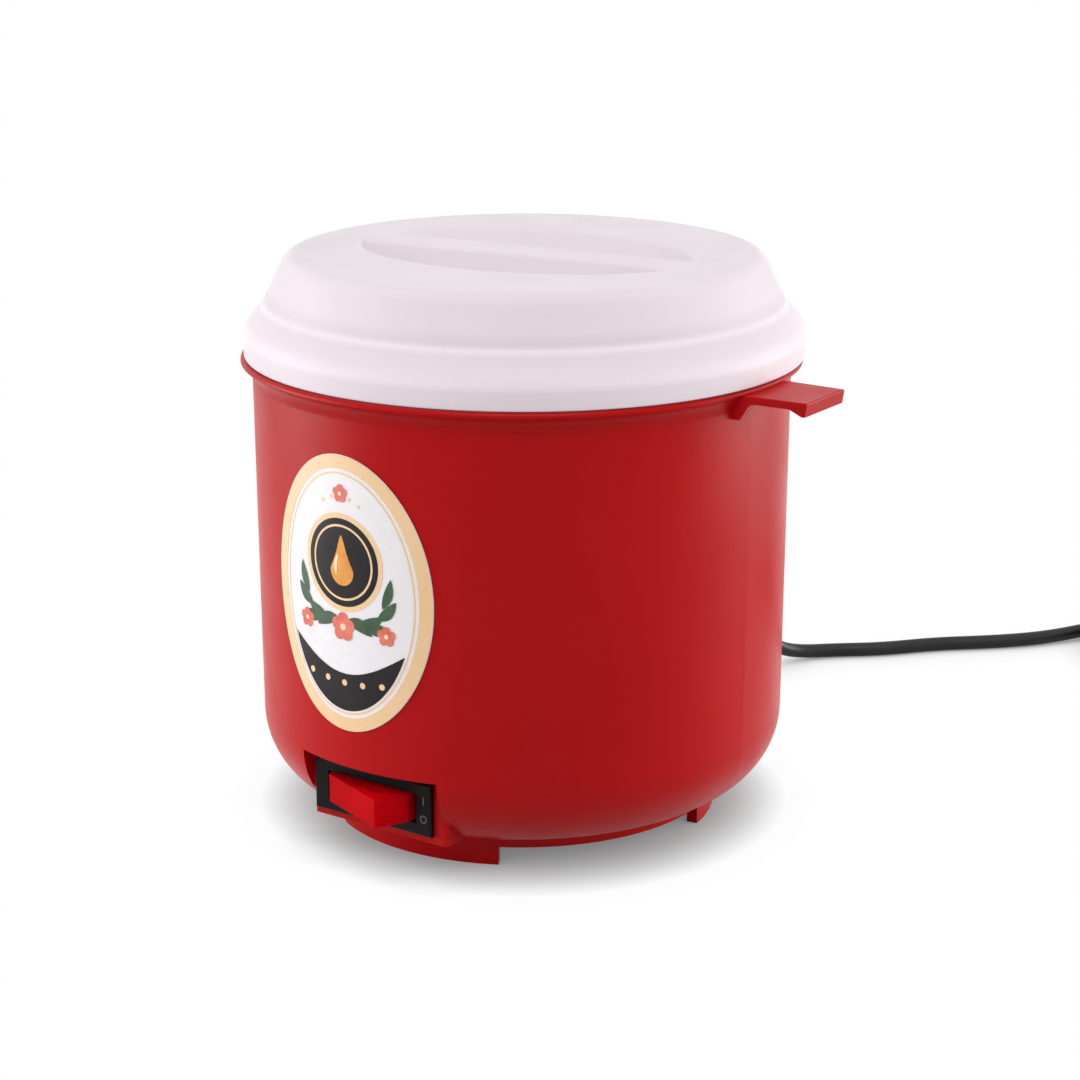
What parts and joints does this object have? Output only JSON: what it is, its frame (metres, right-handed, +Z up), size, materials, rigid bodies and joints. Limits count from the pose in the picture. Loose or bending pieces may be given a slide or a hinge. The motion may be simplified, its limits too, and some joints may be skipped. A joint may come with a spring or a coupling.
{
  "type": "wax warmer",
  "caption": "Electric wax warmer: a red bucket with a lifting tab, a heated pot under a white domed lid, a rocker switch in its foot and a mains cord with plug.",
  "frame": {"origin": "on the pot's axis, at the level of the surface that the feet stand on", "axes": "+Z up; the rocker switch and the label face -Y; the lifting tab points to +X; the cord leaves towards +Y"},
  "size_m": [0.2204, 0.391, 0.1539],
  "materials": {
    "red_plastic": "satin to gloss moulded polypropylene",
    "white_plastic": "slightly translucent, faintly pink white, satin",
    "black_plastic": "fine moulded grain",
    "clear_red_plastic": "translucent, polished",
    "label_print": "printed film with a gold border",
    "aluminium": "spun",
    "steel": "zinc plated",
    "resistance_alloy": "dull ribbon",
    "brass": "plain",
    "plug_nickel": "nickel plated",
    "mica": "pressed mica sheet",
    "ceramic": "unglazed",
    "lamp_glass": "clear",
    "brown_insulation": "soft insulation",
    "blue_insulation": "soft insulation",
    "white_insulation": "glass fibre sleeve",
    "cord_rubber": "soft satin sheath"
  },
  "bodies": {
    "warmer": {"outer_body": "red_plastic", "base_cover": "red_plastic", "front_label": "label_print", "inner_pot": "aluminium", "centre_stud": "steel", "mica_upper": "mica", "heating_ribbon": "resistance_alloy", "mica_lower": "mica", "clamp_plate": "steel", "clamp_washer": "steel", "clamp_nut": "steel", "base_washer": "steel", "base_nut": "steel", "element_terminals": "brass", "thermostat_cap": "aluminium", "thermostat_body": "ceramic", "thermostat_terminals": "brass", "thermostat_screws": "steel", "thermal_fuse": "steel", "switch_housing": "black_plastic", "switch_terminals": "brass", "live_wire": "brown_insulation", "switched_wire": "brown_insulation", "fuse_feed_wire": "white_insulation", "fuse_return_wire": "white_insulation", "neutral_wire": "blue_insulation", "lamp_wire": "blue_insulation", "cord_bush": "cord_rubber", "cord_stop": "steel", "cord_entry": "cord_rubber", "cord_run": "cord_rubber", "cord_coil": "cord_rubber", "cord_tie": "black_plastic", "plug_body": "black_plastic", "plug_pins": "plug_nickel"},
    "lid": {"lid": "white_plastic"},
    "rocker": {"switch_rocker": "clear_red_plastic", "switch_plunger": "white_plastic", "plunger_spring": "steel", "neon_lamp": "lamp_glass"},
    "lever": {"contact_lever": "brass"}
  },
  "joints": [
    {"name": "lid_lift", "type": "slide", "parent": "warmer", "child": "lid", "axis": [0, 0, 1], "range_m": [0, 0.09]},
    {"name": "rocker_tip", "type": "hinge", "parent": "warmer", "child": "rocker", "pos_m": [-0.0012, -0.06255, 0.019], "axis": [0, 0, 1], "range_deg": [-18, 0]},
    {"name": "lever_tip", "type": "hinge", "parent": "warmer", "child": "lever", "pos_m": [-0.0012, -0.05365, 0.019], "axis": [0, 0, 1], "range_deg": [0, 16]}
  ],
  "couplings": [
    {"joint": "lever_tip", "follows": "rocker_tip", "ratio": -0.8888}
  ]
}
